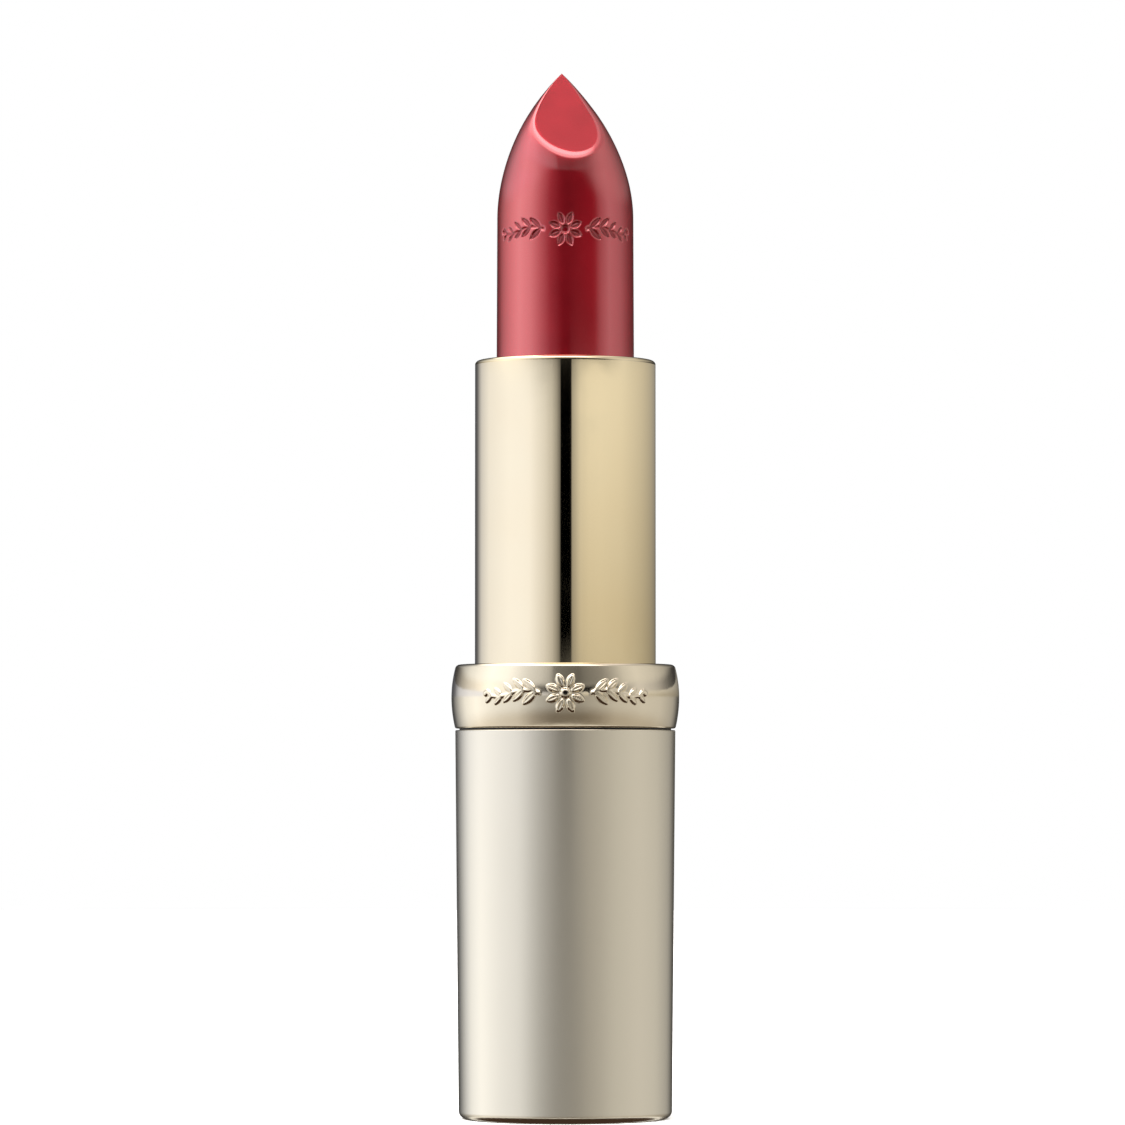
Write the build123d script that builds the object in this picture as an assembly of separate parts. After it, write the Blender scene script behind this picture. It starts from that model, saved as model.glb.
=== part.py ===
from build123d import *
import os
from math import atan2, cos, degrees, pi, radians, sin

# A swivel lipstick without its cap, standing on its base with the bullet wound fully up.
# The origin is the centre of the standing face, +Z points up along the axis of the case,
# and everything is in millimetres. Turning the sleeve against the base makes the bullet
# cup's two lugs follow helical grooves, so the bullet rises or sinks without turning.

# ---- driving dimensions -------------------------------------------------------------------
# base of the case
BASE_TOP = 34.0
BASE_TOP_RADIUS = 9.67
BASE_BOTTOM_RADIUS = 9.35
BASE_CORNER = 0.7
SHEET = 0.5                     # drawn aluminium sheet of the base
RECESS_RADIUS = 7.4             # stamped recess under the base, for the shade label
RECESS_DEPTH = 0.3
WEIGHT_RADIUS = 8.3
WEIGHT_TOP = 3.8

# moulded insert that joins the base, the collar and the mechanism
GLUE_GAP = 0.05
INSERT_WALL_RADIUS = 8.05       # inside of the insert's skirt
NECK_RADIUS = 8.85
NECK_BORE = 8.2
NECK_TOP = 38.9
SOCKET_BORE = 6.4
SOCKET_RADIUS = 7.2
SHOULDER = 22.4                 # where the guide tube's flange rests
SHADOW_GAP = 0.15               # height of the dark line between base and collar

# collar
COLLAR_HEIGHT = 5.6
COLLAR_BELLY_RADIUS = 10.01
COLLAR_BOTTOM_RADIUS = 9.68
COLLAR_TOP_RADIUS = 9.6
COLLAR_LIP_BORE = 8.05
COLLAR_LIP = 0.8

# sleeve, the polished tube that the cap slides over
SLEEVE_RADIUS = 7.95
SLEEVE_BOTTOM = 39.65
SLEEVE_TOP = 66.5
SLEEVE_WALL = 0.35
SLEEVE_MOUTH = 6.35

# cam tube inside the sleeve, with the two helical grooves
CAM_RADIUS = SLEEVE_RADIUS - SLEEVE_WALL
CAM_BORE = 7.08
CAM_BOTTOM = 23.35
CAM_TOP = 65.3
GROOVE_FLOOR = 7.44
GROOVE_WIDTH = 2.2
LEAD = 18.0                     # rise per full turn
TURNS = 1.5

# guide tube, fixed to the base, with the two upright slots
GUIDE_RADIUS = 7.02
GUIDE_BORE = 6.6
GUIDE_TOP = 66.0
GUIDE_FOOT = 5.0
SHANK_RADIUS = 6.2
SHANK_BORE = 5.2
SLOT_WIDTH = 2.2
RING_SECTION = 0.5              # half the thickness of the silicone friction ring
RING_HEIGHT = 24.4
RING_SEAT = 6.1                 # floor of the ring's groove

# bullet cup and bullet
LUG_RADIUS = 1.0
LUG_REACH = 7.38
LUG_HEIGHT = 53.9               # with the bullet wound up
CUP_RADIUS = 6.5
CUP_BORE = 6.08
CUP_BOTTOM = 52.6
CUP_TOP = 65.9
CUP_FLOOR = 0.8
BULLET_RADIUS = 6.05
BULLET_TOP = 92.0
NOSE_LENGTH = 14.0
FACET_BOTTOM = 84.6
FACET_TURN = 8.0                # degrees from the front, towards +X

# worked out
COLLAR_BOTTOM = BASE_TOP + SHADOW_GAP
COLLAR_TOP = COLLAR_BOTTOM + COLLAR_HEIGHT
TRAVEL = LEAD * TURNS
CUP_INSIDE = CUP_BOTTOM + CUP_FLOOR


# ---- helpers ------------------------------------------------------------------------------
def turned(outline):
    """Solid of revolution about Z from a closed outline of (radius, height)."""
    return revolve(Plane.XZ * make_face(outline), Axis.Z)


def tube(bore, radius, bottom, top):
    """Plain straight tube about Z."""
    corners = [(bore, bottom), (radius, bottom), (radius, top), (bore, top)]
    return turned(Polyline(*corners, close=True))


def rounded(*corners):
    """Closed outline from (radius, height, corner rounding) triples."""
    points = [(radius, height) for radius, height, rounding in corners]
    roundings = [rounding for radius, height, rounding in corners]
    return FilletPolyline(*points, radius=roundings, close=True)


def radial_fins(count, inner, outer, thickness, bottom, top):
    """Upright fins spread evenly about Z, between two radii."""
    fin = Box(outer - inner, thickness, top - bottom, align=(Align.MIN, Align.CENTER, Align.MIN))
    return Compound([Rot(0, 0, 360 * i / count) * Pos(inner, 0, bottom) * fin for i in range(count)])


def base_radius(height):
    """Outer radius of the base, which narrows slightly towards the bottom."""
    return BASE_BOTTOM_RADIUS + (BASE_TOP_RADIUS - BASE_BOTTOM_RADIUS) * height / BASE_TOP


def around(radius, angle):
    """Point at a radius and an angle in degrees."""
    return radius * cos(radians(angle)), radius * sin(radians(angle))


# ---- base ---------------------------------------------------------------------------------
def base_shell():
    """Deep-drawn aluminium cup with a stamped recess underneath."""
    inner_top = BASE_TOP_RADIUS - SHEET
    inner_bottom = base_radius(SHEET) - SHEET
    flare = 0.25                # slope of the recess wall
    return turned(rounded(
        (0, RECESS_DEPTH, 0),
        (RECESS_RADIUS - flare, RECESS_DEPTH, 0.12),
        (RECESS_RADIUS, 0, 0.15),
        (BASE_BOTTOM_RADIUS, 0, BASE_CORNER),
        (BASE_TOP_RADIUS, BASE_TOP, 0.1),
        (inner_top, BASE_TOP, 0),
        (inner_bottom, SHEET, BASE_CORNER - SHEET),
        (RECESS_RADIUS, SHEET, 0.12),
        (RECESS_RADIUS - flare, RECESS_DEPTH + SHEET, 0.15),
        (0, RECESS_DEPTH + SHEET, 0),
    ))


def shade_label():
    """Thin round label in the recess under the base."""
    return tube(0, RECESS_RADIUS - 0.4, RECESS_DEPTH - 0.08, RECESS_DEPTH)


def base_weight():
    """Steel disc in the foot of the base, with a locating hole."""
    chamfer_size = 0.5
    bottom = RECESS_DEPTH + SHEET
    hole = 2.0
    return turned(Polyline(
        (hole, bottom),
        (WEIGHT_RADIUS - chamfer_size, bottom),
        (WEIGHT_RADIUS, bottom + chamfer_size),
        (WEIGHT_RADIUS, WEIGHT_TOP - chamfer_size),
        (WEIGHT_RADIUS - chamfer_size, WEIGHT_TOP),
        (hole, WEIGHT_TOP),
        close=True,
    ))


def base_insert():
    """Moulded core of the base: skirt, neck for the collar, and socket for the guide tube."""
    skirt_top = BASE_TOP_RADIUS - SHEET - GLUE_GAP
    skirt_bottom = base_radius(WEIGHT_TOP) - SHEET - GLUE_GAP
    flange = 9.3
    floor = WEIGHT_TOP + 0.8
    web = SHOULDER - 0.8
    spigot = 1.9
    body = turned(Polyline(
        (0, WEIGHT_TOP - 2.0),
        (spigot, WEIGHT_TOP - 2.0),
        (spigot, WEIGHT_TOP),
        (SOCKET_RADIUS, WEIGHT_TOP),
        (SOCKET_RADIUS, web),
        (INSERT_WALL_RADIUS, web),
        (INSERT_WALL_RADIUS, WEIGHT_TOP),
        (skirt_bottom, WEIGHT_TOP),
        (skirt_top, BASE_TOP),
        (flange, BASE_TOP),
        (flange, COLLAR_BOTTOM),
        (NECK_RADIUS, COLLAR_BOTTOM),
        (NECK_RADIUS, NECK_TOP),
        (NECK_BORE, NECK_TOP),
        (NECK_BORE, SHOULDER),
        (SOCKET_BORE, SHOULDER),
        (SOCKET_BORE, floor),
        (0, floor),
        close=True,
    ))
    embed = 0.2                 # the ribs run a little into both walls
    return body + radial_fins(6, SOCKET_RADIUS - embed, INSERT_WALL_RADIUS + embed, 0.8, floor, web)


def collar_ring():
    """Barrel-shaped collar pushed over the neck, with an inward lip over its top."""
    bore = NECK_RADIUS + 0.02
    belly = (COLLAR_BELLY_RADIUS, COLLAR_BOTTOM + 0.49 * COLLAR_HEIGHT)
    outside = ThreePointArc((COLLAR_BOTTOM_RADIUS, COLLAR_BOTTOM), belly, (COLLAR_TOP_RADIUS, COLLAR_TOP))
    inside = Polyline(
        (COLLAR_TOP_RADIUS, COLLAR_TOP),
        (COLLAR_LIP_BORE, COLLAR_TOP),
        (COLLAR_LIP_BORE, COLLAR_TOP - COLLAR_LIP),
        (bore, COLLAR_TOP - COLLAR_LIP),
        (bore, COLLAR_BOTTOM),
        (COLLAR_BOTTOM_RADIUS, COLLAR_BOTTOM),
    )
    ring = turned(Curve() + [outside, inside])
    for radius, rounding in ((COLLAR_BOTTOM_RADIUS, 0.15), (COLLAR_TOP_RADIUS, 0.3)):
        rims = ring.edges().filter_by(GeomType.CIRCLE).filter_by(lambda rim: abs(rim.radius - radius) < 0.01)
        ring = fillet(rims, rounding)
    return ring


# ---- mechanism ----------------------------------------------------------------------------
def guide_tube():
    """Inner body: shank in the base's socket, and a slotted tube that guides the cup's lugs."""
    flange = 7.6
    bead = 7.35
    bead_bottom = GUIDE_TOP - 0.6
    groove_half = 0.55
    step = SHOULDER + 0.8
    ledge = 25.3                # the cup stops just above this
    body = turned(Polyline(
        (SHANK_BORE, GUIDE_FOOT),
        (SHANK_RADIUS, GUIDE_FOOT),
        (SHANK_RADIUS, SHOULDER),
        (flange, SHOULDER),
        (flange, step),
        (GUIDE_RADIUS, step),
        (GUIDE_RADIUS, RING_HEIGHT - groove_half),
        (RING_SEAT, RING_HEIGHT - groove_half),
        (RING_SEAT, RING_HEIGHT + groove_half),
        (GUIDE_RADIUS, RING_HEIGHT + groove_half),
        (GUIDE_RADIUS, bead_bottom),
        (bead, bead_bottom),
        (bead, GUIDE_TOP - 0.3),
        (GUIDE_RADIUS, GUIDE_TOP),
        (GUIDE_BORE, GUIDE_TOP),
        (GUIDE_BORE, ledge),
        (SHANK_BORE, ledge),
        close=True,
    ))
    grip = radial_fins(12, SHANK_RADIUS - 0.2, SOCKET_BORE - 0.02, 0.5, GUIDE_FOOT + 0.5, SHOULDER)
    return body + grip - lug_slots() - snap_slits()


def lug_slots():
    """Cutter for the two upright slots that the cup's lugs run in."""
    middle = LUG_HEIGHT - TRAVEL / 2
    outline = Rot(0, 0, 90) * SlotCenterToCenter(TRAVEL, SLOT_WIDTH)
    return extrude(Plane.YZ * Pos(0, middle) * outline, GUIDE_RADIUS + 1, both=True)


def snap_slits():
    """Cutter for four slits that let the tube's top bead snap through the cam tube."""
    length = 8.0
    blade = Box(2 * CAM_RADIUS, 0.8, length, align=(Align.CENTER, Align.CENTER, Align.MIN))
    placed = Pos(0, 0, GUIDE_TOP - length) * blade
    return Compound([Rot(0, 0, 45) * placed, Rot(0, 0, 135) * placed])


def friction_ring():
    """Silicone ring, flattened against its groove, that keeps the twist from slipping."""
    centre = CAM_BORE - 0.02 - RING_SECTION
    section = Pos(centre, RING_HEIGHT) * Circle(RING_SECTION)
    flat = Pos(RING_SEAT, RING_HEIGHT) * Rectangle(2, 2, align=(Align.MIN, Align.CENTER))
    return revolve(Plane.XZ * (section & flat), Axis.Z)


def cam_sleeve():
    """Cam tube with two blind helical grooves on its inside, half a turn apart."""
    groove = helical_groove()
    return tube(CAM_BORE, CAM_RADIUS, CAM_BOTTOM, CAM_TOP) - groove - groove.rotate(Axis.Z, 180)


def helical_groove():
    """Twisted prism along the path of one lug, open towards the axis, closed at both ends."""
    end_room = LUG_RADIUS + 0.2
    bottom = LUG_HEIGHT - TRAVEL - end_room
    length = TRAVEL + 2 * end_room
    mean_radius = (CAM_BORE + GROOVE_FLOOR) / 2
    lead_angle = atan2(LEAD, 2 * pi * mean_radius)
    half = degrees(GROOVE_WIDTH / (mean_radius * sin(lead_angle))) / 2
    start = 360 * (bottom - LUG_HEIGHT) / LEAD
    inner = CAM_BORE - 0.3
    sector = make_face(Curve() + [
        Line(around(inner, start - half), around(GROOVE_FLOOR, start - half)),
        ThreePointArc(*[around(GROOVE_FLOOR, start + side * half) for side in (-1, 0, 1)]),
        Line(around(GROOVE_FLOOR, start + half), around(inner, start + half)),
        ThreePointArc(*[around(inner, start + side * half) for side in (1, 0, -1)]),
    ])
    twist = 360 * length / LEAD
    base = (Pos(0, 0, bottom) * sector).face()
    return Solid.extrude_linear_with_rotation(base, (0, 0, bottom), (0, 0, length), twist)


def sleeve_shell():
    """Polished aluminium sleeve with its top edge rolled inwards."""
    lip = SLEEVE_TOP - SLEEVE_WALL
    return turned(rounded(
        (CAM_RADIUS, SLEEVE_BOTTOM, 0),
        (SLEEVE_RADIUS, SLEEVE_BOTTOM, 0),
        (SLEEVE_RADIUS, SLEEVE_TOP, 0.35),
        (SLEEVE_MOUTH, SLEEVE_TOP, 0.16),
        (SLEEVE_MOUTH, lip, 0.16),
        (CAM_RADIUS, lip, 0),
    ))


# ---- cup and bullet -----------------------------------------------------------------------
def grip_ribs():
    """Fine upright ribs inside the cup that bite into the wax."""
    return radial_fins(6, CUP_BORE - 0.2, CUP_BORE + 0.1, 0.5, CUP_INSIDE, CUP_TOP - 1.5)


def bullet_cup():
    """Cup that holds the wax, with a vent hole, grip ribs and two lugs."""
    body = tube(CUP_BORE, CUP_RADIUS, CUP_BOTTOM, CUP_TOP) + tube(1.5, CUP_RADIUS, CUP_BOTTOM, CUP_INSIDE)
    rod = Pos(0, 0, LUG_HEIGHT) * Rot(0, 90, 0) * Cylinder(LUG_RADIUS, 2 * LUG_REACH + 1)
    lugs = rod & tube(CUP_BORE + 0.2, LUG_REACH, CUP_BOTTOM, CUP_TOP)
    return body + lugs + grip_ribs()


def lipstick_bullet():
    """Wax bullet: a cylinder with an ogive nose and a slanted facet at the front."""
    nose_bottom = BULLET_TOP - NOSE_LENGTH
    ogive = (NOSE_LENGTH**2 + BULLET_RADIUS**2) / (2 * BULLET_RADIUS)
    nose = RadiusArc((BULLET_RADIUS, nose_bottom), (0, BULLET_TOP), -ogive)
    rest = Polyline(
        (0, BULLET_TOP),
        (0, CUP_INSIDE),
        (BULLET_RADIUS, CUP_INSIDE),
        (BULLET_RADIUS, nose_bottom),
    )
    return turned(Curve() + [nose, rest]) - facet_cutter() - grip_ribs()


def facet_cutter():
    """Wedge in front of the slanted facet, which passes just clear of the tip."""
    out = 2 * BULLET_RADIUS
    clear = 0.12
    above = BULLET_TOP + 1
    front = BULLET_RADIUS - 1   # where the facet runs out on the nose
    outline = Polyline(
        (-clear, BULLET_TOP),
        (-front, FACET_BOTTOM),
        (-out, FACET_BOTTOM - 1),
        (-out, above),
        (-clear, above),
        close=True,
    )
    wedge = extrude(Plane.YZ * make_face(outline), out, both=True)
    return Rot(0, 0, FACET_TURN) * wedge


# ---- write the parts ----------------------------------------------------------------------
PIECES = [
    base_shell, shade_label, base_weight, base_insert, collar_ring,
    guide_tube, friction_ring, cam_sleeve, sleeve_shell, bullet_cup, lipstick_bullet,
]

os.makedirs("parts", exist_ok=True)
for piece in PIECES:
    solid = piece().solid()
    solid.label = piece.__name__
    export_step(solid, f"parts/{piece.__name__}.step")
    print(piece.__name__, round(solid.volume, 2), "mm3")
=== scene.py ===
from math import atan2, cos, degrees, pi, radians, sin

import bmesh
import bpy
import numpy as np
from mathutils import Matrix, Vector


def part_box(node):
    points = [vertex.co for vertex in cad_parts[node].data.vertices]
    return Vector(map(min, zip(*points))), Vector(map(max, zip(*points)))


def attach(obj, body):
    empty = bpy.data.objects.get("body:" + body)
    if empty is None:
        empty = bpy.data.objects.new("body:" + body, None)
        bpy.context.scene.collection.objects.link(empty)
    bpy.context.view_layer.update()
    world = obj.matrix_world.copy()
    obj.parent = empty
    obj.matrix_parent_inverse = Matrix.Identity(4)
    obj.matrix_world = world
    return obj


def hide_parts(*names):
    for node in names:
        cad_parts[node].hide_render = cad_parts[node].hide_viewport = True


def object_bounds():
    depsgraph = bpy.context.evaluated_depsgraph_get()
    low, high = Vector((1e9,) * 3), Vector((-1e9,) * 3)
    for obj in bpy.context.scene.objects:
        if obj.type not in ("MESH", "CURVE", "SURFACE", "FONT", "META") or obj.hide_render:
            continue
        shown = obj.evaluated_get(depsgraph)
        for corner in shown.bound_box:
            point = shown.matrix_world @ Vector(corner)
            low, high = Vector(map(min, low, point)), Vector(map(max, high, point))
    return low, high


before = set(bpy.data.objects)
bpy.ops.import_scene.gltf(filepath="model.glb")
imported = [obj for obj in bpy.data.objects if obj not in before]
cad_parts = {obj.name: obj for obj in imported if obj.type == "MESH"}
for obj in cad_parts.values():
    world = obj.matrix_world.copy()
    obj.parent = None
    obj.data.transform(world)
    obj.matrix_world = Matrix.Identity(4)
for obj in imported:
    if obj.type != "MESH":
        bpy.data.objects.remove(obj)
cad_low, cad_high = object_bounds()
MIDDLE = (cad_low + cad_high) / 2

# A swivel lipstick without its cap, standing upright with its bullet up. Shapes are worked
# out in millimetres, in the CAD frame, and made into meshes in metres.
MM = 0.001

# Angles round the object are counted from the front, which is -Y, towards +X.
FRONT = -pi / 2


def extent(node):
    """Lowest height, highest height and largest radius of a CAD node, in millimetres."""
    low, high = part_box(node)
    return low.z / MM, high.z / MM, max(high.x, high.y) / MM


BASE_BOTTOM, BASE_TOP, BASE_RADIUS = extent("base_shell")
COLLAR_BOTTOM, COLLAR_TOP, COLLAR_RADIUS = extent("collar_ring")
COLLAR_BELLY = COLLAR_BOTTOM + 0.49 * (COLLAR_TOP - COLLAR_BOTTOM)
SLEEVE_BOTTOM, SLEEVE_TOP, SLEEVE_RADIUS = extent("sleeve_shell")
BULLET_BOTTOM, BULLET_TOP, BULLET_RADIUS = extent("lipstick_bullet")


# ---- meshes -------------------------------------------------------------------------------
def smooth(value, low, high):
    """0 below low, 1 above high, with an even, smooth rise between them."""
    t = np.clip((value - low) / (high - low), 0, 1)
    return t * t * (3 - 2 * t)


def is_pole(row):
    """Whether all points of a row are one point."""
    return np.ptp(row[:, 0]) < 1e-6 and np.ptp(row[:, 1]) < 1e-6


def round_mesh(name, rows, loop):
    """Mesh from rows of points that each go once round the axis.

    A row with no radius becomes one point. With loop, the last row joins the first."""
    mesh = bmesh.new()
    made = []
    for row in rows:
        points = row[:1] if is_pole(row) else row
        made.append([mesh.verts.new(point * MM) for point in points])
    pairs = list(zip(made, made[1:]))
    if loop:
        pairs.append((made[-1], made[0]))
    count = len(rows[0])
    for below, above in pairs:
        for i in range(count):
            j = (i + 1) % count
            lower = [below[i % len(below)], below[j % len(below)]]
            upper = [above[j % len(above)], above[i % len(above)]]
            corners = list(dict.fromkeys(lower + upper))
            if len(corners) > 2:
                mesh.faces.new(corners)
    bmesh.ops.recalc_face_normals(mesh, faces=mesh.faces)
    for face in mesh.faces:
        face.smooth = True
    data = bpy.data.meshes.new(name)
    mesh.to_mesh(data)
    mesh.free()
    piece = bpy.data.objects.new(name, data)
    bpy.context.scene.collection.objects.link(piece)
    return piece


def turned_rows(outline, angles):
    """Rows of points from an outline of (radius, height), turned through the angles."""
    directions = np.stack([np.cos(angles), np.sin(angles)], axis=1)
    level = np.ones(len(angles))
    return [np.column_stack([radius * directions, height * level]) for radius, height in outline]


def even_angles(count):
    """Angles evenly spread round the axis."""
    return FRONT + np.arange(count) * 2 * pi / count


def crowded_angles(fine, coarse, reach):
    """Angles round the axis, with the fine ones within reach of the front."""
    near = np.linspace(-reach, reach, fine, endpoint=False)
    far = np.linspace(reach, 2 * pi - reach, coarse, endpoint=False)
    return FRONT + np.concatenate([near, far])


def around_front(angles):
    """The same angles counted from the front, from -pi to pi."""
    return (angles - FRONT + pi) % (2 * pi) - pi


def spaced(start, end, longest):
    """Points from start up to end, with short first and last steps that keep edges crisp."""
    short_step = 0.06
    start, end = np.array(start, float), np.array(end, float)
    length = np.linalg.norm(end - start)
    lead = min(short_step, length / 4)
    count = max(1, round((length - 2 * lead) / longest))
    shares = np.concatenate([[0], np.linspace(lead, length - lead, count + 1) / length])
    return [tuple(start + share * (end - start)) for share in shares]


def rounded_outline(corners, longest):
    """Closed outline of (radius, height) from (radius, height, rounding) corners."""
    finest_turn = 7     # degrees between the points of an arc
    points = np.array([corner[:2] for corner in corners], float)
    arcs = []
    for i, (here, rounding) in enumerate(zip(points, [corner[2] for corner in corners])):
        back = points[i - 1] - here
        on = points[(i + 1) % len(points)] - here
        back, on = back / np.linalg.norm(back), on / np.linalg.norm(on)
        half = np.arccos(np.clip(back @ on, -1, 1)) / 2
        if rounding == 0:
            arcs.append([here])
            continue
        reach = rounding / np.tan(half)
        centre = here + (back + on) / np.linalg.norm(back + on) * rounding / np.sin(half)
        first, last = here + back * reach - centre, here + on * reach - centre
        turn = pi - 2 * half
        steps = max(4, int(degrees(turn) / finest_turn))
        shares = np.linspace(0, 1, steps + 1)
        weights = [(np.sin((1 - share) * turn), np.sin(share * turn)) for share in shares]
        arcs.append([centre + (a * first + b * last) / np.sin(turn) for a, b in weights])
    outline = []
    for arc, following in zip(arcs, arcs[1:] + arcs[:1]):
        outline += [tuple(point) for point in arc[:-1]]
        outline += spaced(arc[-1], following[0], longest)
    return outline


# ---- ornament -----------------------------------------------------------------------------
STEM_WAVE = 0.16    # how far the stem waves each way, for a garland of size 1


def leaf(u, v, centre, angle, length, width):
    """Height from 0 to 1 of a domed leaf with a groove along its middle."""
    along = (u - centre[0]) * cos(angle) + (v - centre[1]) * sin(angle)
    across = (v - centre[1]) * cos(angle) - (u - centre[0]) * sin(angle)
    half = width / 2 * np.clip(1 - (2 * along / length) ** 2, 0, 1)
    body = np.clip(1 - np.abs(across) / np.maximum(half, 1e-6), 0, 1) * (half > 0.02 * width)
    dome = smooth(body, 0, 0.45)
    vein = np.exp(-(across / (0.07 * width)) ** 2) * smooth(body, 0.3, 0.9)
    return dome * (1 - 0.45 * vein)


def dot(u, v, centre, radius):
    """Height from 0 to 1 of a round bead."""
    distance = np.hypot(u - centre[0], v - centre[1])
    return smooth(1 - distance / radius, 0, 0.5)


def flower(u, v, size):
    """Height from 0 to 1 of a round flower in the middle of the garland."""
    petals = 8
    middle = 0.66 * size
    height = dot(u, v, (0, 0), 0.30 * size)
    for i in range(petals):
        angle = 2 * pi * (i + 0.5) / petals
        centre = (middle * cos(angle), middle * sin(angle))
        height = np.maximum(height, leaf(u, v, centre, angle, 0.72 * size, 0.42 * size))
    return height


def stem(u, v, start, reach, size):
    """Height from 0 to 1 of the waving stems at both sides, from start to reach."""
    out = np.abs(u)
    wave = STEM_WAVE * size * np.sin(2 * pi * (out - start) / (reach - start))
    ends = smooth(out, start - 0.1, start + 0.1) * (1 - smooth(out, reach - 0.4, reach - 0.1))
    return 0.7 * ends * np.exp(-((v - wave) / (0.085 * size)) ** 2)


def leaf_pair(u, v, side, foot, size):
    """Height from 0 to 1 of two leaves that spread from a foot on the stem."""
    spread = radians(42)
    length, width = 0.98 * size, 0.42 * size
    out = 0.46 * length
    height = np.zeros(np.shape(v))
    for angle in (-spread, spread):
        centre = (side * (foot[0] + out * cos(angle)), foot[1] + out * sin(angle))
        tilt = angle if side > 0 else pi - angle
        height = np.maximum(height, leaf(u, v, centre, tilt, length, width))
    return height


def garland(u, v, reach, size):
    """Height from 0 to 1 of a flower with a leafy sprig on each side, reach wide each way."""
    start = 1.25 * size
    span = reach - start
    pairs = 5
    height = np.maximum(flower(u, v, size), stem(u, v, start, reach, size))
    for side in (-1, 1):
        for i in range(pairs):
            share = (i + 0.35) / pairs
            foot = (start + span * share, STEM_WAVE * size * sin(2 * pi * share))
            height = np.maximum(height, leaf_pair(u, v, side, foot, size * (1 - 0.11 * i)))
        height = np.maximum(height, dot(u, v, (side * reach, 0), 0.17 * size))
    return height


# ---- pieces -------------------------------------------------------------------------------
def satin_base():
    """The drawn cup that is held: slight taper, rounded foot, stamped recess underneath."""
    taper = 0.32
    sheet = 0.5
    corner = 0.7
    recess, depth, flare = 7.4, 0.3, 0.25
    foot = BASE_RADIUS - taper
    outline = rounded_outline([
        (0.0, depth, 0),
        (recess - flare, depth, 0.12),
        (recess, BASE_BOTTOM, 0.15),
        (foot, BASE_BOTTOM, corner),
        (BASE_RADIUS, BASE_TOP, 0.1),
        (BASE_RADIUS - sheet, BASE_TOP, 0.08),
        (foot - sheet, sheet, corner - sheet),
        (recess, sheet, 0.12),
        (recess - flare, depth + sheet, 0.15),
        (0.0, depth + sheet, 0),
    ], longest=1.5)
    in_sheet = [radius < 1e-6 and depth < height < depth + sheet for radius, height in outline]
    wall = [point for point, hidden in zip(outline, in_sheet) if not hidden]
    return round_mesh("satin_base", turned_rows(wall, even_angles(240)), loop=False)


def polished_sleeve():
    """The mirror-bright tube that the cap slides over, its top edge rolled inwards."""
    wall = 0.35
    mouth = 6.35
    lip = SLEEVE_TOP - wall
    outline = rounded_outline([
        (SLEEVE_RADIUS - wall, SLEEVE_BOTTOM, 0),
        (SLEEVE_RADIUS, SLEEVE_BOTTOM, 0.06),
        (SLEEVE_RADIUS, SLEEVE_TOP, wall),
        (mouth, SLEEVE_TOP, 0.16),
        (mouth, lip, 0.16),
        (SLEEVE_RADIUS - wall, lip, 0),
    ], longest=1.5)
    return round_mesh("polished_sleeve", turned_rows(outline, even_angles(256)), loop=True)


def barrel_bulge(height, bottom_rim, top_rim):
    """How far the barrel stands out from the straight wall between its rims.

    bottom_rim and top_rim are how much narrower than the belly the two ends are."""
    rim, end = (top_rim, COLLAR_TOP) if height > COLLAR_BELLY else (bottom_rim, COLLAR_BOTTOM)
    share = (height - COLLAR_BELLY) / (end - COLLAR_BELLY)
    fall = (COLLAR_TOP - height) / (COLLAR_TOP - COLLAR_BOTTOM)
    straight = top_rim + (bottom_rim - top_rim) * fall
    return straight - rim * share ** 2


def relief_collar():
    """Barrel-shaped collar with a raised garland across its front."""
    lip_bore, lip = 8.05, 0.8
    bore = 8.87
    bottom_rim, top_rim = 0.33, 0.41
    edge = 0.3
    relief, garland_reach, garland_size, garland_rise = 0.2, 7.6, 1.75, 0.22
    outline = rounded_outline([
        (lip_bore, COLLAR_TOP, 0.08),
        (lip_bore, COLLAR_TOP - lip, 0),
        (bore, COLLAR_TOP - lip, 0),
        (bore, COLLAR_BOTTOM, 0.1),
        (COLLAR_RADIUS - bottom_rim, COLLAR_BOTTOM, 0.15),
        (COLLAR_RADIUS - top_rim, COLLAR_TOP, edge),
    ], longest=0.07)
    angles = crowded_angles(fine=230, coarse=90, reach=radians(52))
    rows = turned_rows(outline, angles)
    along = around_front(angles) * COLLAR_RADIUS
    outer = COLLAR_RADIUS - bottom_rim - 1.2 * edge
    for row in rows:
        radius = np.hypot(row[:, 0], row[:, 1])
        height = row[0, 2]
        if radius[0] <= outer or not COLLAR_BOTTOM < height < COLLAR_TOP:
            continue
        up = np.full(len(angles), height - COLLAR_BELLY - garland_rise)
        raised = relief * garland(along, up, garland_reach, garland_size)
        grown = (radius + barrel_bulge(height, bottom_rim, top_rim) + raised) / radius
        row[:, :2] *= grown[:, None]
    return round_mesh("relief_collar", rows, loop=True)


def ogive(depth, length):
    """Radius of the nose at a depth below the tip, for a nose of this length."""
    left = np.clip(1 - depth / length, 0, 1)
    return BULLET_RADIUS * (1 - left ** 2) ** 0.97


def nose_radius(angle, depth):
    """Radius of the nose before the facet, at an angle from the front and a depth below the tip.

    Seen from the front it is an ogive, and its front half is fuller and squarer than that."""
    side_length, front_length = 13.0, 9.5
    forward = np.cos(angle)
    side = ogive(depth, side_length)
    reach = np.where(forward > 0, ogive(depth, front_length), side)
    power = 2 + (forward > 0) * (1 - smooth(depth, 4.0, front_length))
    across = np.abs(np.sin(angle)) / np.maximum(side, 1e-6)
    along = np.abs(forward) / np.maximum(reach, 1e-6)
    return (across ** power + along ** power) ** (-1 / power)


def facet_side(angle, radius, depth):
    """How far a point stands in front of the slanted facet, square to it."""
    turn = radians(9)
    slope = 0.742
    above = 0.03        # how far above the tip the facet meets the axis
    forward = radius * np.cos(angle - turn)
    return (forward - slope * (depth + above)) / np.hypot(1, slope)


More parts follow.
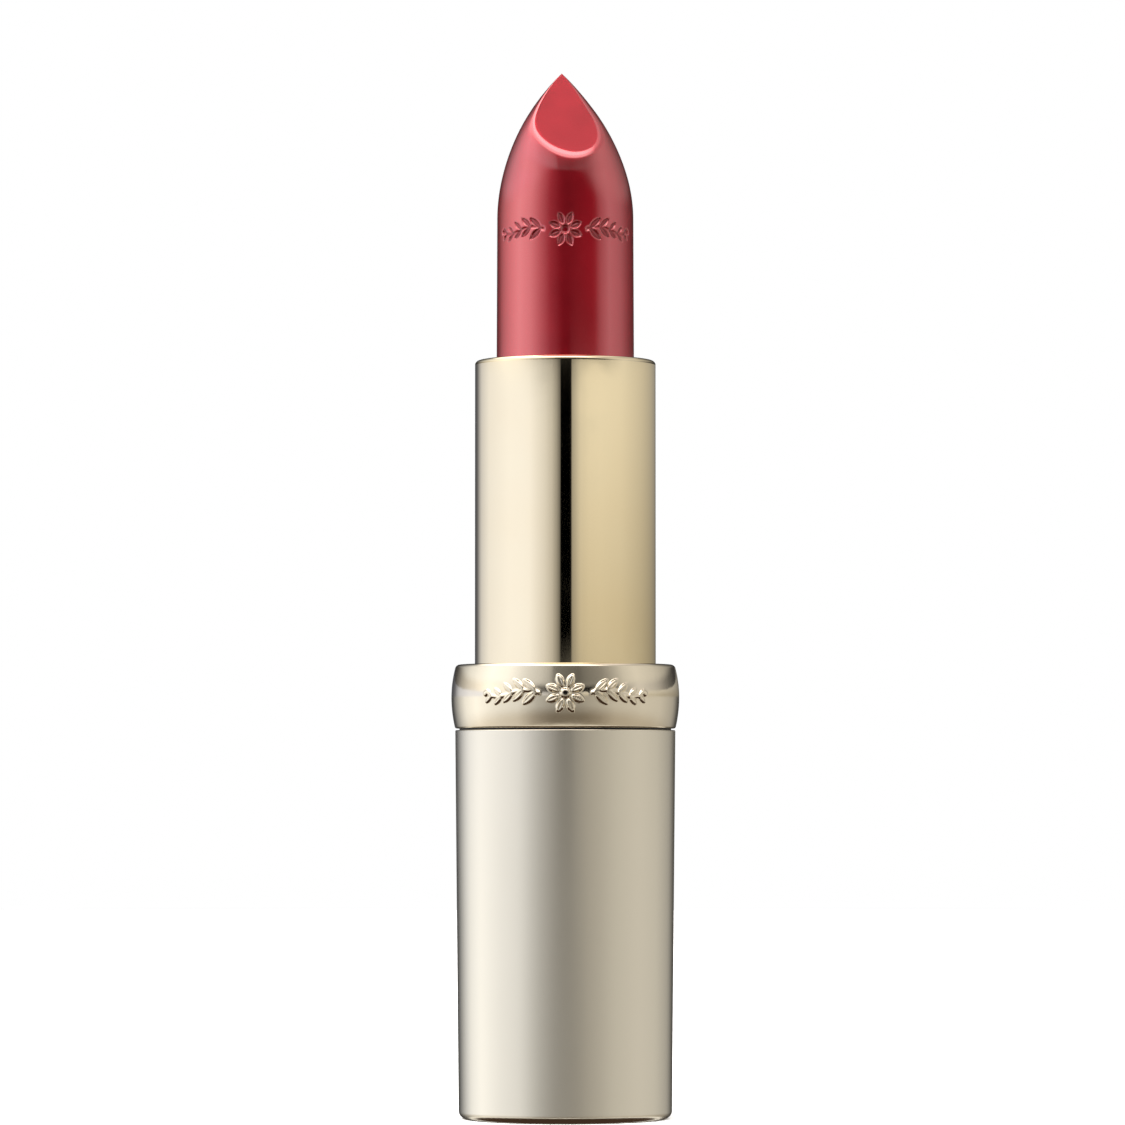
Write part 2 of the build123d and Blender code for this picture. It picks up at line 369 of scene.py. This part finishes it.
def facet_rounding(angle, depth):
    """Width of the rounded edge of the facet: crisp at the tip and the left, soft at the right."""
    soft_side = smooth(angle, radians(25), radians(70))
    return (0.05 + 0.17 * smooth(depth, 0.3, 3.5)) * (1 + 3.5 * soft_side)


def bullet_radius(angle, depth):
    """Radius of the bullet with its facet, found by halving the range that it lies in."""
    halvings = 36
    nose = nose_radius(angle, depth)
    rounding = facet_rounding(angle, depth)
    low, high = np.zeros_like(nose), np.full_like(nose, BULLET_RADIUS + 0.5)
    for _ in range(halvings):
        middle = (low + high) / 2
        past_nose = (middle - nose) * 0.9
        past_facet = facet_side(angle, middle, depth)
        blend = np.clip(rounding - np.abs(past_nose - past_facet), 0, None) / rounding
        past = np.maximum(past_nose, past_facet) + blend ** 2 * rounding / 4
        high = np.where(past > 0, middle, high)
        low = np.where(past > 0, low, middle)
    return (low + high) / 2


def bullet_heights(garland_height):
    """Heights of the bullet's rows, closest where the garland and the facet's edges are."""
    garland_low, garland_high = garland_height - 2.2, garland_height + 2.2
    facet_low, facet_high = 83.5, 86.5
    crowding = 1.35     # how much closer the rows are near the tip
    nose = (1 - np.linspace(0, 1, 70)) ** crowding
    return np.concatenate([
        np.linspace(BULLET_BOTTOM, 66, 6, endpoint=False),
        np.linspace(66, garland_low, 22, endpoint=False),
        np.linspace(garland_low, garland_high, 70, endpoint=False),
        np.linspace(garland_high, facet_low, 22, endpoint=False),
        np.linspace(facet_low, facet_high, 50, endpoint=False),
        BULLET_TOP - (BULLET_TOP - facet_high) * nose,
    ])


def mark_pressed(piece, rows, depths):
    """Keeps how deep each point of the garland is pressed, from 0 to 1, for the material, which paints
    shade into the pressed garland with it.
    """
    mark = piece.data.attributes.new("pressed", "FLOAT", "POINT")
    values = []
    for row, depth in zip(rows, depths):
        values += list(depth[:1] if is_pole(row) else depth)
    mark.data.foreach_set("value", values)


def wax_bullet():
    """The wax bullet: ogive nose, slanted facet, and a garland pressed into its front."""
    garland_height, garland_depth, garland_reach, garland_size = 77.6, 0.16, 6.9, 1.5
    sleeve_mouth = SLEEVE_TOP - 0.5
    draft, draft_length = 0.05, 13      # the wax is a little thinner above the sleeve
    lean, lean_start = -0.3, 78         # and its tip stands a little to the left
    angles = crowded_angles(fine=250, coarse=90, reach=radians(78))
    around = around_front(angles)
    level = np.ones(len(angles))
    rows = [np.tile([0.0, 0.0, BULLET_BOTTOM], (len(angles), 1))]
    depths = [0 * level]
    for height in bullet_heights(garland_height):
        at_tip = height >= BULLET_TOP - 1e-6
        radius = 0 * level if at_tip else bullet_radius(around, (BULLET_TOP - height) * level)
        up = (height - garland_height) * level
        pressed = garland_depth * garland(around * BULLET_RADIUS, up, garland_reach, garland_size)
        thinner = draft * np.clip((height - sleeve_mouth) / draft_length, 0, 1)
        radius = np.clip(radius - pressed - thinner, 0, None)
        aside = lean * smooth(height, lean_start, BULLET_TOP) ** 1.5
        x, y = radius * np.cos(angles) + aside, radius * np.sin(angles)
        rows.append(np.column_stack([x, y, height * level]))
        depths.append(pressed / garland_depth)
    bullet = round_mesh("wax_bullet", rows, loop=False)
    mark_pressed(bullet, rows, depths)
    return bullet


# ---- materials ----------------------------------------------------------------------------
class Nodes:
    """A node tree, with short calls for its nodes. A value is a socket or a constant."""

    def __init__(self, tree):
        self.tree = tree
        self.tree.nodes.clear()

    def node(self, kind, **settings):
        made = self.tree.nodes.new(kind)
        for key, value in settings.items():
            setattr(made, key, value)
        return made

    def feed(self, socket, value):
        if isinstance(value, bpy.types.NodeSocket):
            self.tree.links.new(value, socket)
        else:
            socket.default_value = value

    def math(self, operation, first, second=0.0):
        made = self.node("ShaderNodeMath", operation=operation)
        self.feed(made.inputs[0], first)
        self.feed(made.inputs[1], second)
        return made.outputs["Value"]

    def mix(self, share, first, second, blend="MIX"):
        """Colour between first and second, or their blend."""
        made = self.node("ShaderNodeMix", data_type="RGBA", blend_type=blend)
        self.feed(made.inputs["Factor"], share)
        self.feed(made.inputs["A"], first)
        self.feed(made.inputs["B"], second)
        return made.outputs["Result"]


class Paint(Nodes):
    """A procedural material with one Principled shader."""

    def __init__(self, name, **constants):
        self.material = bpy.data.materials.new(name)
        self.material.use_nodes = True
        super().__init__(self.material.node_tree)
        self.surface = self.node("ShaderNodeBsdfPrincipled")
        output = self.node("ShaderNodeOutputMaterial")
        self.feed(output.inputs["Surface"], self.surface.outputs["BSDF"])
        self.place = self.node("ShaderNodeTexCoord").outputs["Object"]
        for key, value in constants.items():
            self.surface.inputs[key.replace("_", " ")].default_value = value

    def stretched(self, x, y, z):
        """Object coordinates with a scale along each axis."""
        mapping = self.node("ShaderNodeMapping")
        self.feed(mapping.inputs["Vector"], self.place)
        mapping.inputs["Scale"].default_value = (x, y, z)
        return mapping.outputs["Vector"]

    def noise(self, scale, detail=3.0, where=None):
        """Noise from 0 to 1. The scale is in lumps per metre."""
        made = self.node("ShaderNodeTexNoise")
        self.feed(made.inputs["Vector"], where or self.place)
        made.inputs["Scale"].default_value = scale
        made.inputs["Detail"].default_value = detail
        return made.outputs["Fac"]

    def range(self, value, low, high, start=0.0, end=1.0):
        """value, from start to end, stretched to low to high."""
        made = self.node("ShaderNodeMapRange")
        self.feed(made.inputs["Value"], value)
        for key, number in (("From Min", start), ("From Max", end), ("To Min", low), ("To Max", high)):
            made.inputs[key].default_value = number
        return made.outputs["Result"]

    def bump(self, height, distance, strength=1.0):
        """Bump from a height, where distance is the depth of its full range in metres."""
        made = self.node("ShaderNodeBump")
        self.feed(made.inputs["Height"], height)
        made.inputs["Distance"].default_value = distance
        made.inputs["Strength"].default_value = strength
        self.feed(self.surface.inputs["Normal"], made.outputs["Normal"])

    def set(self, key, value):
        self.feed(self.surface.inputs[key], value)


def rgb(red, green, blue):
    return red, green, blue, 1.0


def champagne_satin():
    """Anodised aluminium with a fine satin grain and faint upright drawing marks."""
    paint = Paint("champagne_satin", Metallic=1.0)
    grain = paint.noise(9000, 2.0)
    drawn = paint.noise(1.0, 2.0, paint.stretched(2600, 2600, 25))
    clouds = paint.noise(130, 3.0)
    tone = paint.mix(clouds, rgb(0.91, 0.845, 0.70), rgb(0.94, 0.875, 0.73))
    paint.set("Base Color", tone)
    paint.set("Roughness", paint.range(paint.math("ADD", grain, clouds), 0.17, 0.22, 0.6, 1.4))
    paint.bump(drawn, 0.0000012, 0.5)
    return paint.material


def polished_gold():
    """Mirror-polished pale gold with hairlines and the lightest of handling marks."""
    paint = Paint("polished_gold", Metallic=1.0)
    hairlines = paint.noise(1.0, 2.0, paint.stretched(5200, 5200, 40))
    smudges = paint.noise(240, 4.0)
    paint.set("Base Color", paint.mix(smudges, rgb(0.99, 0.84, 0.56), rgb(1.0, 0.87, 0.60)))
    paint.set("Roughness", paint.range(smudges, 0.03, 0.06, 0.35, 0.75))
    paint.bump(hairlines, 0.000002, 0.4)
    return paint.material


def metallised_gold():
    """Metallised moulding: bright, a little softer than polished metal, with orange peel."""
    paint = Paint("metallised_gold", Metallic=1.0)
    peel = paint.noise(1500, 2.0)
    worn = paint.noise(420, 3.0)
    paint.set("Base Color", paint.mix(worn, rgb(0.93, 0.83, 0.64), rgb(0.97, 0.87, 0.68)))
    paint.set("Roughness", paint.range(worn, 0.07, 0.14, 0.3, 0.75))
    paint.bump(peel, 0.000006, 0.5)
    return paint.material


def lipstick_wax():
    """Crimson wax: a fine pearl under a glossy skin, with faint mould lines and bloom, and painted shade
    that darkens the pressed garland.
    """
    paint = Paint("lipstick_wax", Metallic=0.97, Coat_Weight=1.0, Coat_Roughness=0.06, Coat_IOR=2.3)
    paint.surface.inputs["Specular Tint"].default_value = rgb(1.0, 0.5, 0.5)
    pearl = paint.noise(26000, 1.0)
    bloom = paint.noise(330, 4.0)
    lines = paint.noise(1.0, 3.0, paint.stretched(3000, 3000, 120))
    deep = paint.mix(bloom, rgb(0.60, 0.012, 0.027), rgb(0.68, 0.017, 0.036))
    skin = paint.mix(paint.range(pearl, 0.0, 0.35, 0.45, 0.8), deep, rgb(0.70, 0.06, 0.09))
    pressed = paint.node("ShaderNodeAttribute", attribute_name="pressed").outputs["Fac"]
    # Painted shade: the base colour is darkened where the garland is pressed in, standing in for the
    # shadow inside its strokes.
    paint.set("Base Color", paint.mix(pressed, skin, rgb(0.33, 0.008, 0.018)))
    paint.set("Coat Weight", paint.range(pressed, 1.0, 0.4))
    rubbed = paint.range(pressed, 0, 0.15)
    paint.set("Roughness", paint.math("ADD", paint.range(bloom, 0.29, 0.37, 0.3, 0.7), rubbed))
    paint.bump(lines, 0.000002, 0.6)
    return paint.material


def moulded_plastic(name, colour, shade, roughness):
    """Injection-moulded plastic with a slight flow pattern and a fine spark-eroded grain."""
    paint = Paint(name, IOR=1.49)
    flow = paint.noise(180, 3.0)
    grain = paint.noise(6000, 2.0)
    paint.set("Base Color", paint.mix(flow, rgb(*colour), rgb(*[channel * shade for channel in colour])))
    paint.set("Roughness", paint.range(grain, roughness - 0.05, roughness + 0.08, 0.3, 0.7))
    paint.bump(grain, 0.000008, 0.5)
    return paint.material


def plated_steel():
    """Stamped disc: dull zinc with rolling marks."""
    paint = Paint("plated_steel", Metallic=1.0)
    rolled = paint.noise(1.0, 3.0, paint.stretched(300, 9000, 300))
    spangle = paint.noise(700, 2.0)
    paint.set("Base Color", paint.mix(spangle, rgb(0.50, 0.50, 0.51), rgb(0.66, 0.66, 0.67)))
    paint.set("Roughness", paint.range(spangle, 0.3, 0.45, 0.3, 0.7))
    paint.bump(rolled, 0.00001, 0.5)
    return paint.material


def silicone():
    """Greased grey silicone ring."""
    paint = Paint("silicone", IOR=1.41, Coat_Weight=0.3)
    mottled = paint.noise(900, 2.0)
    paint.set("Base Color", paint.mix(mottled, rgb(0.20, 0.20, 0.21), rgb(0.28, 0.28, 0.29)))
    paint.set("Roughness", paint.range(mottled, 0.4, 0.6, 0.3, 0.7))
    paint.bump(mottled, 0.00001, 0.4)
    return paint.material


def printed_label():
    """Coated paper with a shade-coloured disc inside a pale border, and no lettering."""
    paint = Paint("printed_label", IOR=1.45)
    fibres = paint.noise(5000, 4.0)
    split = paint.node("ShaderNodeSeparateXYZ")
    paint.feed(split.inputs["Vector"], paint.place)
    squares = [paint.math("MULTIPLY", split.outputs[axis], split.outputs[axis]) for axis in ("X", "Y")]
    radius = paint.math("SQRT", paint.math("ADD", *squares))
    border_start, border_full = 0.00610, 0.00616
    border = paint.range(radius, 0.0, 1.0, border_start, border_full)
    ink = paint.mix(fibres, rgb(0.42, 0.03, 0.06), rgb(0.50, 0.05, 0.08))
    paint.set("Base Color", paint.mix(border, ink, rgb(0.86, 0.83, 0.76)))
    paint.set("Roughness", paint.range(fibres, 0.35, 0.55, 0.3, 0.7))
    paint.bump(fibres, 0.000006, 0.5)
    return paint.material


def white_floor():
    """Matt white sweep, not part of the object."""
    paint = Paint("white_floor")
    mottled = paint.noise(12, 2.0)
    paint.set("Base Color", paint.mix(mottled, rgb(0.93, 0.93, 0.925), rgb(0.95, 0.95, 0.945)))
    paint.surface.inputs["Roughness"].default_value = 0.9
    paint.surface.inputs["Specular IOR Level"].default_value = 0.1
    return paint.material


# ---- studio -------------------------------------------------------------------------------
# The room that the metal mirrors is made of bands, one above the other. A band is a list of
# (azimuth, brightness), with azimuths in degrees from the front and positive to the right.
# All have a soft box at the left and one at the right, a gap between them at the front, and
# darkness behind. An upright wall mirrors only the thin band at its own height, so the
# sleeve and the bullet have a band each.
ROOM = [
    (-180, 0.05), (-158, 0.08), (-143, 0.38), (-122, 0.92), (-103, 1.12), (-74, 0.90), (-50, 0.79),
    (-28, 0.47), (-15, 0.36), (-11, 0.34), (15, 0.33), (24, 0.39), (38, 0.46), (52, 0.55), (87, 0.62),
    (112, 0.58), (141, 0.38), (158, 0.08), (180, 0.05),
]
SLEEVE_BAND = [
    (-180, 0.10), (-160, 0.08), (-150, 0.16), (-135, 0.63), (-114, 0.88), (-76, 0.99), (-46, 0.98),
    (-26, 0.80), (-17, 0.63), (-10, 0.36), (-6.8, 0.17), (-5.9, 0.0), (7.0, 0.0), (7.8, 0.42), (19, 0.87),
    (30, 0.98), (45, 1.0), (75, 0.94), (112, 0.73), (140, 0.53), (160, 0.36), (180, 0.1),
]
BULLET_BAND = [
    (-180, 0.03), (-165, 0.04), (-152, 0.07), (-140, 0.22), (-125, 0.52), (-108, 0.84), (-84, 1.32),
    (-62, 1.04), (-43, 0.48), (-26, 0.10), (-9, 0.01), (45, 0.0), (52, 0.05), (61, 0.31), (80, 0.66),
    (106, 0.46), (122, 0.24), (134, 0.12), (150, 0.05), (180, 0.03),
]
UPPER_BAND = [
    (-180, 0.03), (-165, 0.06), (-151, 0.20), (-136, 0.46), (-118, 0.85), (-84, 1.25), (-62, 1.12),
    (-43, 0.80), (-26, 0.62), (-15, 0.42), (-12, 0.18), (14, 0.13), (20, 0.18), (40, 0.27), (54, 0.45),
    (64, 0.62), (80, 0.72), (106, 0.60), (126, 0.42), (146, 0.20), (165, 0.06), (180, 0.03),
]
CEILING_BAND = [(-180, 0.3), (-150, 0.8), (-120, 1.0), (38, 1.0), (60, 0.3), (180, 0.25)]

# The elevations in degrees where each of them starts, is full, starts to fade, and ends.
SLEEVE_SPAN = (0.85, 1.05, 4.30, 4.38)
BULLET_SPAN = (4.30, 4.38, 8.0, 15.0)
UPPER_SPAN = (8.0, 15.0, 32.0, 38.0)


class Sky(Nodes):
    """Node tree of the world, with directions as azimuth and elevation in degrees."""

    def __init__(self, name):
        world = bpy.data.worlds.new(name)
        world.use_nodes = True
        super().__init__(world.node_tree)
        bpy.context.scene.world = world
        split = self.node("ShaderNodeSeparateXYZ")
        self.feed(split.inputs["Vector"], self.node("ShaderNodeTexCoord").outputs["Generated"])
        x, y, z = (split.outputs[axis] for axis in "XYZ")
        angle = self.math("ARCTAN2", x, self.math("MULTIPLY", y, -1.0))
        self.azimuth = self.math("MULTIPLY", angle, degrees(1))
        self.elevation = self.math("MULTIPLY", self.math("ARCSINE", z), degrees(1))

    def rise(self, value, start, end):
        """0 at start, 1 at end, smooth between them."""
        made = self.node("ShaderNodeMapRange", interpolation_type="SMOOTHSTEP")
        self.feed(made.inputs["Value"], value)
        made.inputs["From Min"].default_value = start
        made.inputs["From Max"].default_value = end
        return made.outputs["Result"]

    def between(self, start, full, full_end, end):
        """1 for elevations from full to full_end, fading to 0 at start and at end."""
        inside = self.rise(self.elevation, start, full)
        beyond = self.rise(self.elevation, full_end, end)
        return self.math("MULTIPLY", inside, self.math("SUBTRACT", 1.0, beyond))

    def tinted(self, tone, band):
        """Light of a colour with the brightness of a band."""
        made = self.node("ShaderNodeValToRGB")
        share = self.math("DIVIDE", self.math("ADD", self.azimuth, 180.0), 360.0)
        self.feed(made.inputs["Fac"], share)
        ramp = made.color_ramp
        while len(ramp.elements) < len(band):
            ramp.elements.new(0.5)
        for element, (azimuth, brightness) in zip(ramp.elements, band):
            element.position = (azimuth + 180) / 360
            element.color = rgb(brightness, brightness, brightness)
        return self.mix(1.0, tone, made.outputs["Color"], blend="MULTIPLY")


def cool_to_warm(sky, cool, warm):
    """Colour that goes from cool at the left to warm at the right."""
    return sky.mix(sky.rise(sky.azimuth, -60, 30), cool, warm)


def room_tone(sky):
    return cool_to_warm(sky, rgb(0.99, 1.01, 1.06), rgb(1.0, 0.97, 0.92))


def room_light(sky):
    """The room, dimmer and browner near the table."""
    light = sky.tinted(room_tone(sky), ROOM)
    aside = sky.rise(sky.math("ABSOLUTE", sky.azimuth), 15, 60)
    table_tone = sky.mix(aside, rgb(0.52, 0.46, 0.39), rgb(0.78, 0.73, 0.66))
    near_table = sky.rise(sky.elevation, -6, -18)
    return sky.mix(near_table, light, sky.mix(1.0, light, table_tone, blend="MULTIPLY"))


def sleeve_light(sky):
    """What the upright sleeve mirrors, with a warm side that is deeper towards its foot."""
    height = sky.rise(sky.elevation, 0.5, 4.4)
    warm = sky.mix(height, rgb(0.58, 0.53, 0.43), rgb(0.84, 0.81, 0.75))
    return sky.tinted(cool_to_warm(sky, rgb(0.99, 1.035, 1.22), warm), SLEEVE_BAND)


def ceiling_light(sky):
    """A bright ring overhead, brightest near the top, with a dim opening straight above."""
    high_up = sky.rise(sky.elevation, 48, 60)
    tone = sky.mix(high_up, rgb(1.9, 1.8, 1.75), rgb(3.0, 2.8, 2.75))
    opening = sky.rise(sky.elevation, 69, 73)
    return sky.mix(opening, sky.tinted(tone, CEILING_BAND), rgb(0.30, 0.29, 0.28))


def studio():
    """The room as the object mirrors it. The camera sees plain white."""
    sky = Sky("studio")
    light = room_light(sky)
    light = sky.mix(sky.between(*SLEEVE_SPAN), light, sleeve_light(sky))
    bullet_light = sky.tinted(rgb(1.0, 0.97, 0.95), BULLET_BAND)
    light = sky.mix(sky.between(*BULLET_SPAN), light, bullet_light)
    light = sky.mix(sky.between(*UPPER_SPAN), light, sky.tinted(room_tone(sky), UPPER_BAND))
    light = sky.mix(sky.rise(sky.elevation, 33, 44), light, ceiling_light(sky))
    lit_table, shadow = rgb(1.0, 0.97, 0.91), rgb(0.05, 0.03, 0.02)
    light = sky.mix(sky.rise(sky.elevation, -23, -26), light, lit_table)
    light = sky.mix(sky.rise(sky.elevation, -29, -33), light, shadow)
    to_camera = sky.node("ShaderNodeLightPath").outputs["Is Camera Ray"]
    background = sky.node("ShaderNodeBackground")
    sky.feed(background.inputs["Color"], sky.mix(to_camera, light, rgb(1.0, 1.0, 1.0)))
    output = sky.node("ShaderNodeOutputWorld")
    sky.feed(output.inputs["Surface"], background.outputs["Background"])


def lamp(name, place, size, power):
    """Large soft lamp, aimed at the object, that doesn't show in the metal."""
    data = bpy.data.lights.new(name, "AREA")
    data.size = size
    data.energy = power
    lamp_object = bpy.data.objects.new(name, data)
    lamp_object.location = place
    direction = MIDDLE - lamp_object.location
    lamp_object.rotation_euler = direction.to_track_quat("-Z", "Y").to_euler()
    lamp_object.visible_glossy = False
    lamp_object.visible_camera = False
    bpy.context.scene.collection.objects.link(lamp_object)


def floor():
    """Round white table top."""
    angles = even_angles(96)
    rings = [(radius, 0) for radius in (0, 60, 150, 350, 800)]
    top = round_mesh("white_table", turned_rows(rings, angles), loop=False)
    top.visible_glossy = False
    top.data.materials.append(white_floor())


def camera():
    """Long lens, a little above the foot of the case and tilted up."""
    distance = 0.4945
    eye_height = 0.0295
    aim_height = 0.04875
    aside = -0.00025
    data = bpy.data.cameras.new("camera")
    data.sensor_width = 36.0
    data.lens = 180.0
    eye = bpy.data.objects.new("camera", data)
    eye.location = (MIDDLE.x + aside, -distance, eye_height)
    eye.rotation_euler = (pi / 2 + atan2(aim_height - eye_height, distance), 0, 0)
    bpy.context.scene.collection.objects.link(eye)
    bpy.context.scene.camera = eye


# ---- put together -------------------------------------------------------------------------
def dress(node, material):
    """Gives a CAD node that stays in view a procedural material."""
    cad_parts[node].material_slots[0].material = material


def place(piece, material, body, node, slot):
    """Finishes a new piece that stands for a CAD node."""
    piece.data.materials.append(material)
    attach(piece, body)
    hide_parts(node)


place(satin_base(), champagne_satin(), "base", "base_shell", "champagne_aluminium")
place(relief_collar(), metallised_gold(), "base", "collar_ring", "gold_collar")
place(polished_sleeve(), polished_gold(), "sleeve", "sleeve_shell", "polished_gold_aluminium")
place(wax_bullet(), lipstick_wax(), "carrier", "lipstick_bullet", "lipstick_wax")

ivory = moulded_plastic("ivory_plastic", (0.80, 0.74, 0.60), 0.92, 0.35)
for node in ("guide_tube", "cam_sleeve", "bullet_cup"):
    dress(node, ivory)
dress("base_insert", moulded_plastic("black_plastic", (0.02, 0.02, 0.02), 0.7, 0.5))
dress("base_weight", plated_steel())
dress("friction_ring", silicone())
dress("shade_label", printed_label())

floor()
studio()
lamp("key", place=(-0.5, -0.45, 0.75), size=0.6, power=12.0)
lamp("fill", place=(0.6, 0.1, 0.6), size=0.8, power=8.0)
camera()
bpy.context.scene.view_settings.view_transform = "Standard"
